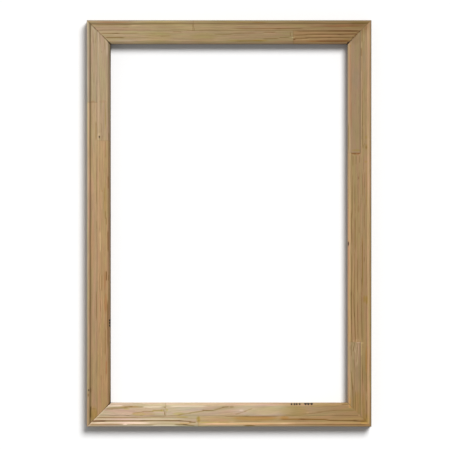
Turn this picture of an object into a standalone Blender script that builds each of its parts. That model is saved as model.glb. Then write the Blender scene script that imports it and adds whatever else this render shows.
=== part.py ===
"""Screen printing frame: four mitred pine rails around an open window.

Each rail is glued up edge to edge from two strips, a bead strip outside and an inner strip
inside. Most strips are finger-jointed lengthwise from shorter blocks. Two steel V-nails, pressed
in from the back, hold each mitre. The frame lies on its back: +Z points out of the bead face, +Y
runs along the long rails, and the origin is the middle of the window in the plane of the back.
"""

import math

import bmesh
import bpy
from mathutils import Matrix

MM = 0.001

# Driving dimensions, in millimetres.
FRAME_WIDTH = 350.0
FRAME_LENGTH = 500.0
RAIL_WIDTH = 29.0
RAIL_DEPTH = 20.0

# The rail's section, from its outer edge inwards. The bead stands proud of a sloping face.
BEAD_WIDTH = 3.4
BEAD_OUTER_RADIUS = 1.3
BEAD_INNER_RADIUS = 0.8
STEP_WIDTH = 1.3
STEP_DROP = 1.6
FACE_FALL = 0.9
EDGE_WIDTH = 3.1
EDGE_DROP = 2.8
EDGE_RADIUS = 1.2
EDGE_SWEEP = 50
BACK_RADIUS = 0.6
ARC_STEPS = 4

# Glue joints. A strip or block stops half a gap short of the joint's middle.
BEAD_STRIP_WIDTH = 13.0
GLUE_GAP = 0.2
FINGER_GAP = 0.5
FINGER_LENGTH = 5.0
FINGER_PITCH = 4.0
FINGER_TIP = 0.4
FINGER_COUNT = 3
FINGER_BASE = 3.0

# V-nails: bent steel strips, on the mitre line, open towards the window.
NAIL_LEG = 6.0
NAIL_THICKNESS = 0.6
NAIL_HEIGHT = 10.0
NAIL_RECESS = 0.3
NAIL_HALF_ANGLE = math.radians(55)
NAIL_CLEARANCE = 0.15
NAIL_PLACES = {"outer": 7.5, "inner": 20.0}

# How far a cutter runs past what it cuts.
OVERCUT = 5.0

# Each rail: its turn from the top rail's place, its length, and for each strip the places of its
# finger joints and the blocks they part. A place is measured along the rail from its middle, to
# the right when the rail is looked at from its face with the window below it.
RAILS = {
    "top": {
        "turn": 0,
        "length": FRAME_WIDTH,
        "bead": ([-44.0], ["left", "right"]),
        "inner": ([79.0], ["left", "right"]),
    },
    "left": {
        "turn": 90,
        "length": FRAME_LENGTH,
        "bead": ([149.0], ["lower", "upper"]),
        "inner": ([102.0], ["lower", "upper"]),
    },
    "bottom": {
        "turn": 180,
        "length": FRAME_WIDTH,
        "bead": ([38.0], ["right", "left"]),
        "inner": ([78.0], ["right", "left"]),
    },
    "right": {
        "turn": 270,
        "length": FRAME_LENGTH,
        "bead": ([], ["whole"]),
        "inner": ([-87.0, 146.0], ["upper", "middle", "lower"]),
    },
}

# Corners, in order round the frame: the rail whose start meets it, the rail whose end meets it.
CORNERS = {
    "top_left": ("top", "left"),
    "bottom_left": ("left", "bottom"),
    "bottom_right": ("bottom", "right"),
    "top_right": ("right", "top"),
}

PINE_COLOURS = {
    "top": (0.40, 0.30, 0.17),
    "left": (0.46, 0.31, 0.16),
    "bottom": (0.47, 0.36, 0.21),
    "right": (0.36, 0.24, 0.11),
}
STEEL_COLOUR = (0.50, 0.50, 0.52)


def clear_scene():
    for thing in list(bpy.data.objects):
        bpy.data.objects.remove(thing)


def new_collection(name):
    collection = bpy.data.collections.new(name)
    bpy.context.scene.collection.children.link(collection)
    return collection


def principled(name, colour, roughness, metallic=0.0):
    material = bpy.data.materials.new(name)
    material.use_nodes = True
    shader = material.node_tree.nodes["Principled BSDF"]
    shader.inputs["Base Color"].default_value = (*colour, 1.0)
    shader.inputs["Roughness"].default_value = roughness
    shader.inputs["Metallic"].default_value = metallic
    return material


def arc(centre, radius, start, end):
    """Points on an arc, from one angle to another, in degrees."""
    points = []
    for i in range(ARC_STEPS + 1):
        angle = math.radians(start + (end - start) * i / ARC_STEPS)
        points.append((centre[0] + radius * math.cos(angle), centre[1] + radius * math.sin(angle)))
    return points


def face_height(across):
    """Height of the sloping main face at a distance in from the rail's outer edge."""
    start = BEAD_WIDTH + STEP_WIDTH
    width = RAIL_WIDTH - EDGE_WIDTH - start
    return RAIL_DEPTH - STEP_DROP - FACE_FALL * (across - start) / width


def bead_section():
    """Outline of the bead strip, as (distance from the outer edge, height)."""
    inner_side = BEAD_STRIP_WIDTH - GLUE_GAP / 2
    low, wide, tight = BACK_RADIUS, BEAD_OUTER_RADIUS, BEAD_INNER_RADIUS
    return [
        (inner_side, 0.0),
        (inner_side, face_height(inner_side)),
        (BEAD_WIDTH + STEP_WIDTH, face_height(BEAD_WIDTH + STEP_WIDTH)),
        *arc((BEAD_WIDTH - tight, RAIL_DEPTH - tight), tight, 0, 90),
        *arc((wide, RAIL_DEPTH - wide), wide, 90, 180),
        *arc((low, low), low, 180, 270),
    ]


def inner_section():
    """Outline of the inner strip, whose window edge is chamfered and eased."""
    outer_side = BEAD_STRIP_WIDTH + GLUE_GAP / 2
    low = BACK_RADIUS
    edge_top = RAIL_WIDTH - EDGE_WIDTH
    height = face_height(edge_top)
    nose = (RAIL_WIDTH - EDGE_RADIUS, height - EDGE_DROP)
    return [
        (outer_side, 0.0),
        *arc((RAIL_WIDTH - low, low), low, 270, 360),
        *arc(nose, EDGE_RADIUS, 0, EDGE_SWEEP),
        (edge_top, height),
        (outer_side, face_height(outer_side)),
    ]


def prism(name, outline, depth, axes, collection):
    """A closed solid: a flat outline in millimetres, thickened by depth about its middle.

    axes is a rotation that carries the outline's plane and its normal to the solid's own axes.
    """
    curve = bpy.data.curves.new(name, "CURVE")
    curve.dimensions = "2D"
    curve.fill_mode = "BOTH"
    curve.extrude = depth * MM / 2
    spline = curve.splines.new("POLY")
    spline.points.add(len(outline) - 1)
    for point, (a, b) in zip(spline.points, outline):
        point.co = (a * MM, b * MM, 0.0, 1.0)
    spline.use_cyclic_u = True
    guide = bpy.data.objects.new(name + "_outline", curve)
    collection.objects.link(guide)
    graph = bpy.context.evaluated_depsgraph_get()
    mesh = bpy.data.meshes.new_from_object(guide.evaluated_get(graph))
    bpy.data.objects.remove(guide)

    shape = bmesh.new()
    shape.from_mesh(mesh)
    bmesh.ops.remove_doubles(shape, verts=shape.verts, dist=1e-7)
    bmesh.ops.dissolve_limit(shape, angle_limit=1e-4, verts=shape.verts, edges=shape.edges)
    bmesh.ops.transform(shape, matrix=axes, verts=shape.verts)
    bmesh.ops.recalc_face_normals(shape, faces=shape.faces)
    shape.to_mesh(mesh)
    shape.free()
    mesh.name = name
    solid = bpy.data.objects.new(name, mesh)
    collection.objects.link(solid)
    return solid


def moved(axes, x=0.0, y=0.0, z=0.0):
    return Matrix.Translation((x * MM, y * MM, z * MM)) @ axes


# (across, height, -along) to the rail's own (along, outwards, up).
SECTION_AXES = Matrix(((0, 0, -1, 0), (-1, 0, 0, 0), (0, 1, 0, 0), (0, 0, 0, 1)))
# (along, height, inwards) to the rail's own (along, outwards, up).
SIDE_AXES = Matrix(((1, 0, 0, 0), (0, 0, -1, 0), (0, 1, 0, 0), (0, 0, 0, 1)))
PLAN_AXES = Matrix.Identity(4)


def cutter(name, outline, depth, axes, parent=None):
    tool = prism(name, outline, depth, axes, CUTTERS)
    tool.hide_render = True
    tool.display_type = "WIRE"
    tool.parent = parent
    return tool


def cut(solid, tool):
    modifier = solid.modifiers.new(tool.name, "BOOLEAN")
    modifier.operation = "DIFFERENCE"
    modifier.solver = "EXACT"
    modifier.object = tool


def outer_edge(length):
    """Distance of a rail's outer edge from the frame's middle."""
    return (FRAME_LENGTH if length == FRAME_WIDTH else FRAME_WIDTH) / 2


def mitre_cutter(rail, length, end, parent):
    """Takes away what lies past a rail's mitre. end is 1 or -1, the end along the rail."""
    edge = outer_edge(length)
    short = GLUE_GAP / 2 * math.sqrt(2)
    outside = length / 2 - short + OVERCUT
    inside = length / 2 - short - RAIL_WIDTH - OVERCUT
    far = length / 2 + 2 * OVERCUT
    outline = [
        (end * outside, edge + OVERCUT),
        (end * inside, edge - RAIL_WIDTH - OVERCUT),
        (end * far, edge - RAIL_WIDTH - OVERCUT),
        (end * far, edge + OVERCUT),
    ]
    side = "end" if end > 0 else "start"
    depth = RAIL_DEPTH + 2 * OVERCUT
    axes = moved(PLAN_AXES, z=RAIL_DEPTH / 2)
    return cutter(f"cut_{rail}_mitre_{side}", outline, depth, axes, parent)


def finger_profile(root):
    """The finger joint's line in side view, from below the back to above the face.

    The joint shows on both faces as a straight line at root, and its fingers reach on from there.
    """
    tip = root + FINGER_LENGTH
    points = [(root, -OVERCUT)]
    for i in range(FINGER_COUNT):
        base = FINGER_BASE + i * FINGER_PITCH
        middle = base + FINGER_PITCH / 2
        points.append((root, base + FINGER_TIP / 2))
        points.append((tip, middle - FINGER_TIP / 2))
        points.append((tip, middle + FINGER_TIP / 2))
        points.append((root, base + FINGER_PITCH - FINGER_TIP / 2))
    points.append((root, RAIL_DEPTH + OVERCUT))
    return points


def finger_cutter(name, place, side, length, parent):
    """Takes away what lies past a finger joint, on the side given by 1 or -1."""
    line = finger_profile(place + side * -FINGER_GAP / 2)
    far = place + side * (length + OVERCUT)
    outline = line + [(far, RAIL_DEPTH + OVERCUT), (far, -OVERCUT)]
    width = RAIL_WIDTH + 2 * OVERCUT
    axes = moved(SIDE_AXES, y=outer_edge(length) - RAIL_WIDTH / 2)
    return cutter(name, outline, width, axes, parent)


def rail_strips(rail, spec):
    """Makes one rail's blocks. Returns {(strip, end): block} for the blocks at its two ends."""
    length = spec["length"]
    holder = bpy.data.objects.new(f"{rail}_rail", None)
    holder.rotation_euler.z = math.radians(spec["turn"])
    PARTS.objects.link(holder)
    mitres = {end: mitre_cutter(rail, length, end, holder) for end in (-1, 1)}
    sections = {"bead": bead_section(), "inner": inner_section()}
    ends = {}
    for strip, section in sections.items():
        joints, labels = spec[strip]
        axes = moved(SECTION_AXES, y=outer_edge(length))
        for i, label in enumerate(labels):
            name = f"{rail}_rail_{strip}_strip_{label}"
            block = prism(name, section, length + OVERCUT, axes, PARTS)
            block.parent = holder
            for side, count in ((-1, i), (1, len(labels) - 1 - i)):
                if count == 0:
                    cut(block, mitres[side])
                    ends[strip, side] = block
                else:
                    place = joints[i if side > 0 else i - 1]
                    cut_name = f"cut_{name}_{'start' if side < 0 else 'end'}"
                    cut(block, finger_cutter(cut_name, place, side, length, holder))
            block.data.materials.append(principled(name, PINE_COLOURS[rail], 0.55))
    return ends


def chevron(leg, thickness):
    """Outline of a V seen from above, its point at the origin and its legs opening along +X."""
    along, across = math.cos(NAIL_HALF_ANGLE), math.sin(NAIL_HALF_ANGLE)
    half = thickness / 2
    outer, inner = [], []
    for side in (-1, 1):
        tip = (leg * along, side * leg * across)
        outer.append((tip[0] - half * across, tip[1] + side * half * along))
        inner.append((tip[0] + half * across, tip[1] - side * half * along))
    back = half / across
    return [outer[0], (-back, 0.0), outer[1], inner[1], (back, 0.0), inner[0]]


def nail_axes(corner_index, place, base, height):
    """Stands a V-nail's outline on a corner's mitre line, place in from both outer edges."""
    quarter = math.radians(90 * corner_index)
    swap = corner_index % 2
    half_x = (FRAME_LENGTH if swap else FRAME_WIDTH) / 2
    half_y = (FRAME_WIDTH if swap else FRAME_LENGTH) / 2
    inwards = Matrix.Rotation(math.radians(-45), 4, "Z")
    spot = moved(inwards, place - half_x, half_y - place, base + height / 2)
    return Matrix.Rotation(quarter, 4, "Z") @ spot


def corner_nails(corner, index, rail_ends):
    """Makes a corner's two V-nails, and their slots in the four blocks that meet there."""
    started, ended = (rail_ends[rail] for rail in CORNERS[corner])
    for strip, (label, place) in zip(("bead", "inner"), NAIL_PLACES.items()):
        name = f"v_nail_{corner}_{label}"
        axes = nail_axes(index, place, NAIL_RECESS, NAIL_HEIGHT)
        nail = prism(name, chevron(NAIL_LEG, NAIL_THICKNESS), NAIL_HEIGHT, axes, PARTS)
        nail.data.materials.append(principled(name, STEEL_COLOUR, 0.35, 1.0))
        slot_height = NAIL_HEIGHT + 2 * NAIL_RECESS + OVERCUT
        slot_axes = nail_axes(index, place, -OVERCUT, slot_height)
        slot_shape = chevron(NAIL_LEG + NAIL_CLEARANCE, NAIL_THICKNESS + 2 * NAIL_CLEARANCE)
        slot = cutter(f"cut_{name}", slot_shape, slot_height, slot_axes)
        cut(started[strip, -1], slot)
        cut(ended[strip, 1], slot)


def make_frame():
    rail_ends = {rail: rail_strips(rail, spec) for rail, spec in RAILS.items()}
    for index, corner in enumerate(CORNERS):
        corner_nails(corner, index, rail_ends)


clear_scene()
PARTS = new_collection("screen_printing_frame")
CUTTERS = new_collection("cutters")
make_frame()
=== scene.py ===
"""Screen printing frame, seen from straight above on a white table."""
import math

import bmesh
import bpy
from mathutils import Matrix, Vector


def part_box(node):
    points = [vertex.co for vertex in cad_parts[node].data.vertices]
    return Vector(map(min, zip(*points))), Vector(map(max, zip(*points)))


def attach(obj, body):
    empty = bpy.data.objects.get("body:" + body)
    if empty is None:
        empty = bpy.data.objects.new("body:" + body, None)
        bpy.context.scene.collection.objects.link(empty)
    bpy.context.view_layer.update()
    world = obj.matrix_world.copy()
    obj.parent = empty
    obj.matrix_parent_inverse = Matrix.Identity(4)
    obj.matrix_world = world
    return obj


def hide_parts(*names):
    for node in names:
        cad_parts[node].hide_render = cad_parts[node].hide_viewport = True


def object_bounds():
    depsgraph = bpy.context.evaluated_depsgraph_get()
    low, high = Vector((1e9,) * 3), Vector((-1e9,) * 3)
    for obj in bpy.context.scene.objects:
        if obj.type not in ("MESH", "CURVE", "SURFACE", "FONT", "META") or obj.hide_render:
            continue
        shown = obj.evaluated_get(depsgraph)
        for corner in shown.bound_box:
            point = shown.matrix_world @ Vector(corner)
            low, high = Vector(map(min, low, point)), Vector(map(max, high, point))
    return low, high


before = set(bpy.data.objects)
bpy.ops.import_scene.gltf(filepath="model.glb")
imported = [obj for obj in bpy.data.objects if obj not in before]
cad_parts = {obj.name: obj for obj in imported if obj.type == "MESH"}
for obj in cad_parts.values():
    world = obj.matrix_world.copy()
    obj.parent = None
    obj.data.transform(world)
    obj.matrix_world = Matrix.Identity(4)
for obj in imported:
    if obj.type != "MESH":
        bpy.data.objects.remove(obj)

cad_low, cad_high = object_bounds()
MM = 0.001

# The rail's section, as designed, in millimetres. Distances run in from the rail's outer edge.
FRAME_WIDTH = (cad_high[0] - cad_low[0]) / MM
FRAME_LENGTH = (cad_high[1] - cad_low[1]) / MM
RAIL_DEPTH = (cad_high[2] - cad_low[2]) / MM
RAIL_WIDTH = 29.0
BEAD_WIDTH = 3.4
BEAD_OUTER_RADIUS = 1.3
BEAD_INNER_RADIUS = 0.8
STEP_WIDTH = 1.3
STEP_DROP = 1.6
FACE_FALL = 0.9
EDGE_WIDTH = 3.1
EDGE_DROP = 2.8
EDGE_RADIUS = 1.2
EDGE_SWEEP = 50
BACK_RADIUS = 0.6
STEP_FILLET = 0.25
EDGE_SOFTENING = 0.35
BEAD_STRIP_WIDTH = 13.0
FINGER_GAP = 0.5
FINGER_LENGTH = 5.0
FINGER_PITCH = 4.0
FINGER_TIP = 0.4
FINGER_COUNT = 3
FINGER_BASE = 3.0
FINGER_MIDDLE = FINGER_BASE + FINGER_COUNT * FINGER_PITCH / 2
NAIL_CLEARANCE = 0.15
NAIL_LABELS = {"bead": "outer", "inner": "inner"}

# What shows of the joints: the wood meets closer here than the solids do.
GLUE_LINE = 0.02
EASE = 0.03
STATION = 3.0
END_MARGIN = 1.2
END_ROWS = 3
BACK_BAND = 1.0
SHARP_ANGLE = 40

TURNS = {"top": 0, "left": 90, "bottom": 180, "right": 270}
CORNERS = {"top": ("top_left", "top_right"), "left": ("bottom_left", "top_left"),
           "bottom": ("bottom_right", "bottom_left"), "right": ("top_right", "bottom_right")}
# Each mitre's open line in the face: its width at the frame's outside and at the window, how dark its
# edges are stained at those two places, how much of that stain is in separate dots, how far it goes, and
# which pattern its dots have.
MITRES = {
    "top_left": dict(gap=(0.14, 1.40), stain=(0.90, 1.0), dotted=0.6, reach=1.3, seed=42.4),
    "top_right": dict(gap=(0.03, 0.90), stain=(-0.8, 1.0), dotted=0.9, reach=1.4, seed=47.7),
    "bottom_left": dict(gap=(0.06, 1.20), stain=(0.50, 0.80), dotted=0.7, reach=1.0, seed=58.3),
    "bottom_right": dict(gap=(0.03, 0.03), stain=(0.0, 0.0), dotted=0.0, reach=1.0, seed=63.6),
}


# ---------------------------------------------------------------- shapes

def turn_matrix(rail):
    return Matrix.Rotation(math.radians(TURNS[rail]), 4, "Z")


def rail_length(rail):
    return FRAME_WIDTH if rail in ("top", "bottom") else FRAME_LENGTH


def outer_edge(rail):
    """Distance of a rail's outer edge from the frame's middle."""
    return (FRAME_LENGTH if rail in ("top", "bottom") else FRAME_WIDTH) / 2


def along_span(node, rail):
    """A block's lowest and highest place along its rail, from its CAD box."""
    back = turn_matrix(rail).inverted()
    ends = [(back @ Vector(corner)).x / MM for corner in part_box(node)]
    return min(ends), max(ends)


def arc(centre, radius, start, end, steps):
    points = []
    for i in range(steps + 1):
        angle = math.radians(start + (end - start) * i / steps)
        points.append((centre[0] + radius * math.cos(angle), centre[1] + radius * math.sin(angle)))
    return points


def run(start, end, steps):
    """Evenly spaced points from start to end, without the last one."""
    return [(start[0] + (end[0] - start[0]) * i / steps, start[1] + (end[1] - start[1]) * i / steps)
            for i in range(steps)]


def face_height(across):
    start = BEAD_WIDTH + STEP_WIDTH
    return RAIL_DEPTH - STEP_DROP - FACE_FALL * (across - start) / (RAIL_WIDTH - EDGE_WIDTH - start)


def tangent_angle(centre, radius, point):
    """Angle on a circle where a line from a point below it on its inner side touches it."""
    dx, dy = point[0] - centre[0], point[1] - centre[1]
    return math.degrees(math.atan2(dy, dx) + math.acos(radius / math.hypot(dx, dy)))


def bead_outline():
    side = BEAD_STRIP_WIDTH - GLUE_LINE / 2
    foot = (BEAD_WIDTH + STEP_WIDTH, face_height(BEAD_WIDTH + STEP_WIDTH))
    wide, tight = BEAD_OUTER_RADIUS, BEAD_INNER_RADIUS
    crown = (BEAD_WIDTH - tight, RAIL_DEPTH - tight)
    lean = tangent_angle(crown, tight, foot)
    slope = math.radians(lean + 90)
    up = (foot[0] + STEP_FILLET * math.cos(slope), foot[1] + STEP_FILLET * math.sin(slope))
    start = (foot[0] + STEP_FILLET, face_height(foot[0] + STEP_FILLET))
    return [
        *run((side, 0.0), (side, face_height(side) - EASE), 1),
        (side, face_height(side) - EASE),
        *run((side - EASE, face_height(side - EASE)), start, 6),
        start,
        ((start[0] + 2 * foot[0] + up[0]) / 4, (start[1] + 2 * foot[1] + up[1]) / 4),
        up,
        *arc(crown, tight, lean, 90, 4),
        *arc((wide, RAIL_DEPTH - wide), wide, 90, 180, 7),
        *arc((BACK_RADIUS, BACK_RADIUS), BACK_RADIUS, 180, 270, 4),
        *run((BACK_RADIUS, 0.0), (side, 0.0), 3)[1:],
    ]


def inner_outline():
    side = BEAD_STRIP_WIDTH + GLUE_LINE / 2
    edge_top = RAIL_WIDTH - EDGE_WIDTH
    height = face_height(edge_top)
    nose = (RAIL_WIDTH - EDGE_RADIUS, height - EDGE_DROP)
    on_face = (edge_top - EDGE_SOFTENING, face_height(edge_top - EDGE_SOFTENING))
    nose_top = arc(nose, EDGE_RADIUS, 0, EDGE_SWEEP, 1)[1]
    share = EDGE_SOFTENING / math.hypot(nose_top[0] - edge_top, nose_top[1] - height)
    on_edge = (edge_top + (nose_top[0] - edge_top) * share, height + (nose_top[1] - height) * share)
    return [
        *run((side, 0.0), (RAIL_WIDTH - BACK_RADIUS, 0.0), 3),
        *arc((RAIL_WIDTH - BACK_RADIUS, BACK_RADIUS), BACK_RADIUS, 270, 360, 4),
        *arc(nose, EDGE_RADIUS, 0, EDGE_SWEEP, 6),
        on_edge,
        ((on_edge[0] + 2 * edge_top + on_face[0]) / 4, (on_edge[1] + 2 * height + on_face[1]) / 4),
        *run(on_face, (side + EASE, face_height(side + EASE)), 6),
        (side + EASE, face_height(side + EASE)),
        (side, face_height(side) - EASE),
    ]


def finger_line():
    """The finger joint in side view: (reach, height) from its root line."""
    points = []
    for i in range(FINGER_COUNT):
        base = FINGER_BASE + i * FINGER_PITCH
        middle = base + FINGER_PITCH / 2
        points.append((0.0, base + FINGER_TIP / 2))
        points.append((FINGER_LENGTH, middle - FINGER_TIP / 2))
        points.append((FINGER_LENGTH, middle + FINGER_TIP / 2))
        points.append((0.0, base + FINGER_PITCH - FINGER_TIP / 2))
    return points


FINGERS = finger_line()
LEVELS = [height for reach, height in FINGERS]


def finger_reach(height):
    for (r0, h0), (r1, h1) in zip(FINGERS, FINGERS[1:]):
        if h0 <= height <= h1:
            return r0 + (r1 - r0) * (height - h0) / (h1 - h0)
    return 0.0


def with_levels(outline):
    """The outline with a point wherever a side crosses one of the finger joint's levels."""
    points = []
    for (u0, z0), (u1, z1) in zip(outline, outline[1:] + outline[:1]):
        points.append((u0, z0))
        inside = [h for h in LEVELS if min(z0, z1) + 1e-6 < h < max(z0, z1) - 1e-6]
        for h in sorted(inside, reverse=z1 < z0):
            points.append((u0 + (u1 - u0) * (h - z0) / (z1 - z0), h))
    return points


def stations(start, end):
    """Places along a block: END_ROWS close together at each end, for the eased edge, and even between."""
    near = [0.0, 2 * EASE, END_MARGIN]
    length = end - start - 2 * END_MARGIN
    body = max(4, round(length / STATION))
    middle = [start + END_MARGIN + length * i / body for i in range(1, body)]
    return [start + d for d in near] + middle + [end - d for d in reversed(near)]


def block_mesh(outline, start_of, end_of, eased, edge):
    """Lofts an outline between two ends, each a function of (distance in, height).

    eased says of each end whether its edges are rubbed down. A finger joint's are planed flush.

    The result is in the rail's own axes: along, outwards and up, in metres.
    """
    shape = bmesh.new()
    points = with_levels(outline)
    middle_u = sum(u for u, z in points) / len(points)
    middle_z = sum(z for u, z in points) / len(points)
    columns = [stations(start_of(u, z), end_of(u, z)) for u, z in points]
    rows = min(len(places) for places in columns)
    rings = []
    for k in range(rows):
        ring = []
        for (u, z), places in zip(points, columns):
            if k < END_ROWS:
                place = places[k]
            elif k >= rows - END_ROWS:
                place = places[k - rows]
            else:
                share = (k - END_ROWS + 1) / (rows - 2 * END_ROWS + 1)
                low, high = places[END_ROWS - 1], places[-END_ROWS]
                place = low + (high - low) * share
            if (k == 0 and eased[0]) or (k == rows - 1 and eased[1]):
                # The lowest part keeps its width, so that the back stays one flat face.
                if z > BACK_BAND:
                    u += math.copysign(EASE, middle_u - u)
                z += math.copysign(EASE, middle_z - z)
            ring.append(shape.verts.new((place * MM, (edge - u) * MM, z * MM)))
        rings.append(ring)
    count = len(points)
    for a, b in zip(rings, rings[1:]):
        for i in range(count):
            j = (i + 1) % count
            shape.faces.new((a[i], a[j], b[j], b[i]))
    cap(shape, rings[0], points)
    cap(shape, rings[-1], points)
    bmesh.ops.recalc_face_normals(shape, faces=shape.faces)
    mesh = bpy.data.meshes.new("block")
    shape.to_mesh(mesh)
    shape.free()
    return mesh


def cap(shape, ring, points):
    """Closes an end: a face between each two of the finger joint's levels, one above and one below."""
    sides = []
    for level in LEVELS:
        sides.append([i for i, (u, z) in enumerate(points) if abs(z - level) < 1e-6])
    for (up0, down0), (up1, down1) in zip(sides, sides[1:]):
        shape.faces.new(ring[up0:up1 + 1] + ring[down1:down0 + 1])
    lowest, highest = sides[0], sides[-1]
    shape.faces.new(ring[highest[0]:highest[1] + 1])
    shape.faces.new(ring[lowest[1]:] + ring[:lowest[0] + 1])


def ends_of_block(rail, neighbours, node):
    """The block's span, its end surfaces as functions of (distance in, height), and its seams.

    A seam is the name of a mitre's corner, or the place along the rail of a finger joint's root line.
    """
    half = rail_length(rail) / 2
    spans = {n: along_span(n, rail) for n in neighbours}
    order = sorted(neighbours, key=lambda n: spans[n][0])
    i = order.index(node)
    low_corner, high_corner = CORNERS[rail]

    def mitre_gap(corner, u, z):
        """The open line is a groove in the face. Below the fingers' top the wood meets."""
        toe, heel = MITRES[corner]["gap"]
        wide = toe + (heel - toe) * (u / RAIL_WIDTH) ** 8
        openness = min(max((z - LEVELS[-3]) / (LEVELS[-1] - LEVELS[-3]), 0.0), 1.0)
        return (GLUE_LINE + (wide - GLUE_LINE) * openness) / math.sqrt(2)

    def finger_end(root, sign):
        return lambda u, z: root + finger_reach(z) + sign * GLUE_LINE / 2

    if i == 0:
        start, low_seam = (lambda u, z: -half + u + mitre_gap(low_corner, u, z)), low_corner
    else:
        low_seam = spans[node][0] - FINGER_GAP / 2
        start = finger_end(low_seam, 1)
    if i == len(order) - 1:
        end, high_seam = (lambda u, z: half - u - mitre_gap(high_corner, u, z)), high_corner
    else:
        high_seam = spans[order[i + 1]][0] - FINGER_GAP / 2
        end = finger_end(high_seam, -1)
    return dict(span=spans[node], surfaces=(start, end), seams=(low_seam, high_seam))


# ---------------------------------------------------------------- materials

class Graph:
    """Short calls for building a material's nodes. A value is a socket, a number or a tuple."""

    def __init__(self, name):
        self.material = bpy.data.materials.new(name)
        self.material.use_nodes = True
        self.tree = self.material.node_tree
        self.shader = self.tree.nodes["Principled BSDF"]

    def put(self, socket, value):
        if isinstance(value, bpy.types.NodeSocket):
            self.tree.links.new(value, socket)
        elif value is not None:
            socket.default_value = value

    def set(self, name, value):
        self.put(self.shader.inputs[name], value)

    def node(self, kind, **settings):
        made = self.tree.nodes.new(kind)
        for name, value in settings.items():
            setattr(made, name, value)
        return made

    def math(self, operation, a, b=None, c=None, clamp=False):
        made = self.node("ShaderNodeMath", operation=operation, use_clamp=clamp)
        for socket, value in zip(made.inputs, (a, b, c)):
            self.put(socket, value)
        return made.outputs[0]

    def times(self, a, b):
        return self.math("MULTIPLY", a, b)

    def plus(self, a, b):
        return self.math("ADD", a, b)

    def minus(self, a, b):
        return self.math("SUBTRACT", a, b)

    def absolute(self, a):
        return self.math("ABSOLUTE", a)

    def scaled(self, value, factor, offset):
        return self.math("MULTIPLY_ADD", value, factor, offset)

    def vector(self, x, y, z):
        made = self.node("ShaderNodeCombineXYZ")
        for socket, value in zip(made.inputs, (x, y, z)):
            self.put(socket, value)
        return made.outputs[0]

    def split(self, vector):
        made = self.node("ShaderNodeSeparateXYZ")
        self.put(made.inputs[0], vector)
        return made.outputs

    def noise(self, vector, detail=2.0, roughness=0.5, colour=False):
        made = self.node("ShaderNodeTexNoise")
        made.inputs["Scale"].default_value = 1.0
        made.inputs["Detail"].default_value = detail
        made.inputs["Roughness"].default_value = roughness
        self.put(made.inputs["Vector"], vector)
        return made.outputs["Color" if colour else "Fac"]

    def ramp(self, share, stops):
        made = self.node("ShaderNodeValToRGB")
        line = made.color_ramp.elements
        while len(line) < len(stops):
            line.new(0.5)
        for element, (place, value) in zip(line, stops):
            element.position = place
            element.color = (value, value, value, 1.0)
        self.put(made.inputs[0], share)
        return made.outputs[0]

    def blend(self, share, a, b, kind="MIX"):
        made = self.node("ShaderNodeMix", data_type="RGBA", blend_type=kind)
        self.put(made.inputs[0], share)
        for socket, value in ((made.inputs[6], a), (made.inputs[7], b)):
            self.put(socket, (*value, 1.0) if isinstance(value, tuple) else value)
        return made.outputs[2]

    def tint(self, share, colour, tone):
        """The colour times the tone, as far as share says."""
        return self.blend(share, colour, tone, "MULTIPLY")

    def smooth(self, value, low, high, out_low=0.0, out_high=1.0):
        made = self.node("ShaderNodeMapRange", interpolation_type="SMOOTHSTEP")
        for socket, number in zip(made.inputs, (value, low, high, out_low, out_high)):
            self.put(socket, number)
        return made.outputs[0]


def rail_position(graph, rail):
    """(along, in from the outer edge, height), in millimetres, at the point being shaded."""
    place = graph.node("ShaderNodeTexCoord").outputs["Object"]
    turned = graph.node("ShaderNodeVectorRotate", rotation_type="Z_AXIS")
    turned.inputs["Angle"].default_value = -math.radians(TURNS[rail])
    graph.put(turned.inputs["Vector"], place)
    along, out, up = graph.split(turned.outputs[0])
    return graph.times(along, 1 / MM), graph.scaled(out, -1 / MM, outer_edge(rail)), graph.times(up, 1 / MM)


# Marks in the wood, and a few of painted light and shade: a cool line of painted shadow along the
# outer edges, and long pale bands of painted light along the steps and chamfers. Each tone multiplies
# the colour under it.
INK = (0.06, 0.06, 0.07)
BLACK = (0.17, 0.12, 0.09)
DARK = (0.50, 0.41, 0.20)
BROWN = (0.72, 0.645, 0.49)
REDDISH = (0.90, 0.70, 0.56)
ORANGE = (0.97, 0.82, 0.56)
OLIVE = (0.95, 0.96, 0.66)
PALE = (1.19, 1.19, 1.26)
WHITE = (1.47, 1.54, 1.78)
PINK = (1.03, 0.95, 0.97)
RESIN = (0.86, 0.82, 0.30)
GREY = (0.92, 0.97, 1.06)
# Painted shadow: a cool grey line along the outer edges of the beads.
EDGE_SHADOW = (0.82, 0.99, 1.16)


SOFT_CORE = 0.15
PRINTED_CORE = 0.6
STREAK_NUMBERS = 5


def streak_share(graph, along, across, start, start_across, end, end_across, width):
    """A streak between two places, which fades over its half width and towards its ends."""
    share = graph.scaled(along, 1 / (end - start), -start / (end - start))
    middle = graph.scaled(share, end_across - start_across, start_across)
    off = graph.absolute(graph.minus(across, middle))
    taper = graph.smooth(graph.absolute(graph.minus(share, 0.5)), 0.53, 0.33)
    return graph.times(graph.smooth(off, width, width * 0.3), taper)


def spot_share(graph, along, across, core, place, place_across, half_length, half_width):
    """An oval. It is whole out to core, and gone at 1, as shares of its radius squared."""
    x = graph.scaled(along, 1 / half_length, -place / half_length)
    y = graph.scaled(across, 1 / half_width, -place_across / half_width)
    return graph.smooth(graph.scaled(x, x, graph.times(y, y)), 1.0, core)


def finger_offset(graph, height):
    """How far the finger joint's surface stands from its root line at a height."""
    wave = graph.math("PINGPONG", graph.minus(height, FINGER_BASE), FINGER_PITCH / 2)
    slope = FINGER_LENGTH / (FINGER_PITCH / 2 - FINGER_TIP)
    reach = graph.scaled(wave, slope, -slope * FINGER_TIP / 2)
    reach = graph.math("MINIMUM", graph.math("MAXIMUM", reach, 0.0), FINGER_LENGTH)
    inside = graph.math("LESS_THAN", graph.absolute(graph.minus(height, FINGER_MIDDLE)),
                        FINGER_COUNT * FINGER_PITCH / 2)
    return graph.times(reach, inside)
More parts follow.
